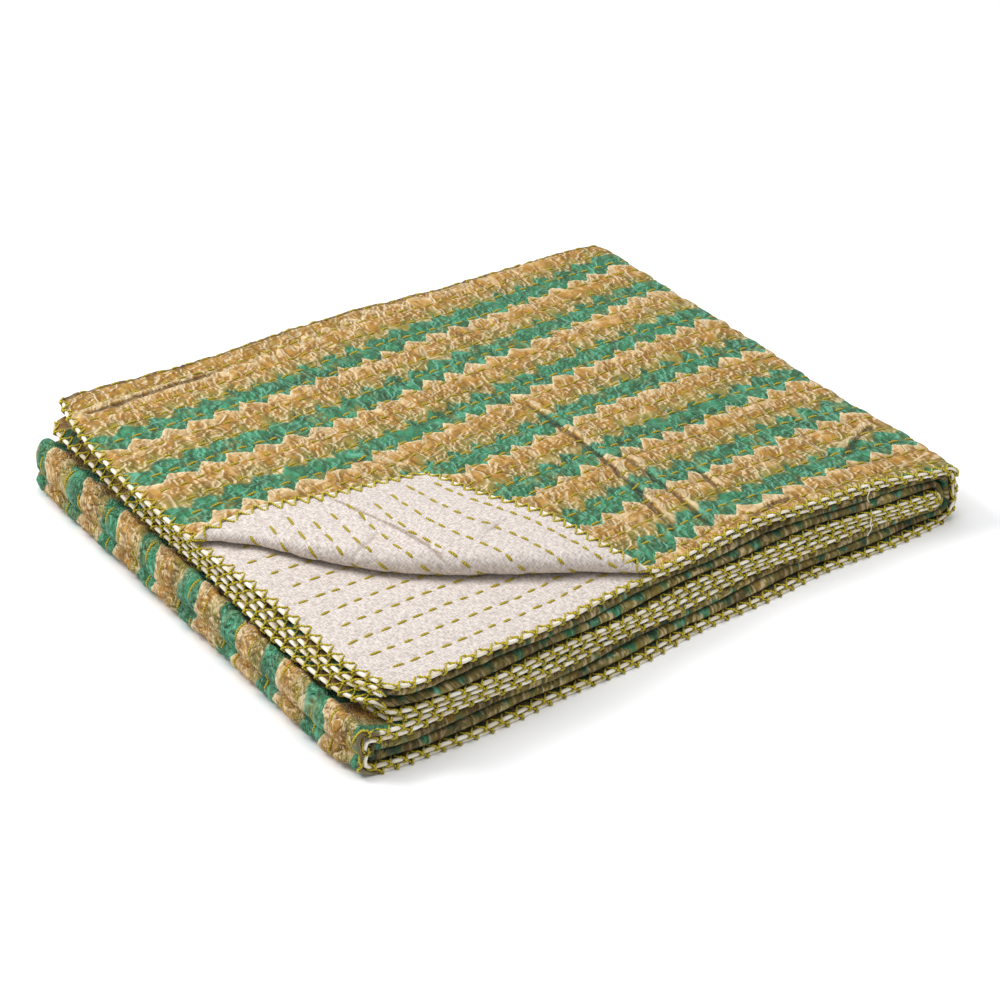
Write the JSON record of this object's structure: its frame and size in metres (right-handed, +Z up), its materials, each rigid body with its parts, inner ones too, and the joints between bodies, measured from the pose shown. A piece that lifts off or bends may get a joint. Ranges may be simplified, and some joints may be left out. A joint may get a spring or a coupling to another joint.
{
  "type": "kantha quilt",
  "caption": "Thin hand-stitched cotton quilt, folded in quarters both ways into a flat stack, with one top corner turned back over itself.",
  "frame": {"origin": "middle of the flat underside of the folded stack's bounding box", "axes": "+X along the stack's long side, from the loose left hems to the folded right end; +Y to the back fold; +Z up"},
  "size_m": [0.4856, 0.3984, 0.0672],
  "materials": {
    "quilted_cotton": "matt printed cotton, zigzag bands in teal and ochre, beige backing"
  },
  "bodies": {
    "root": {"quilt": "quilted_cotton"}
  },
  "joints": []
}
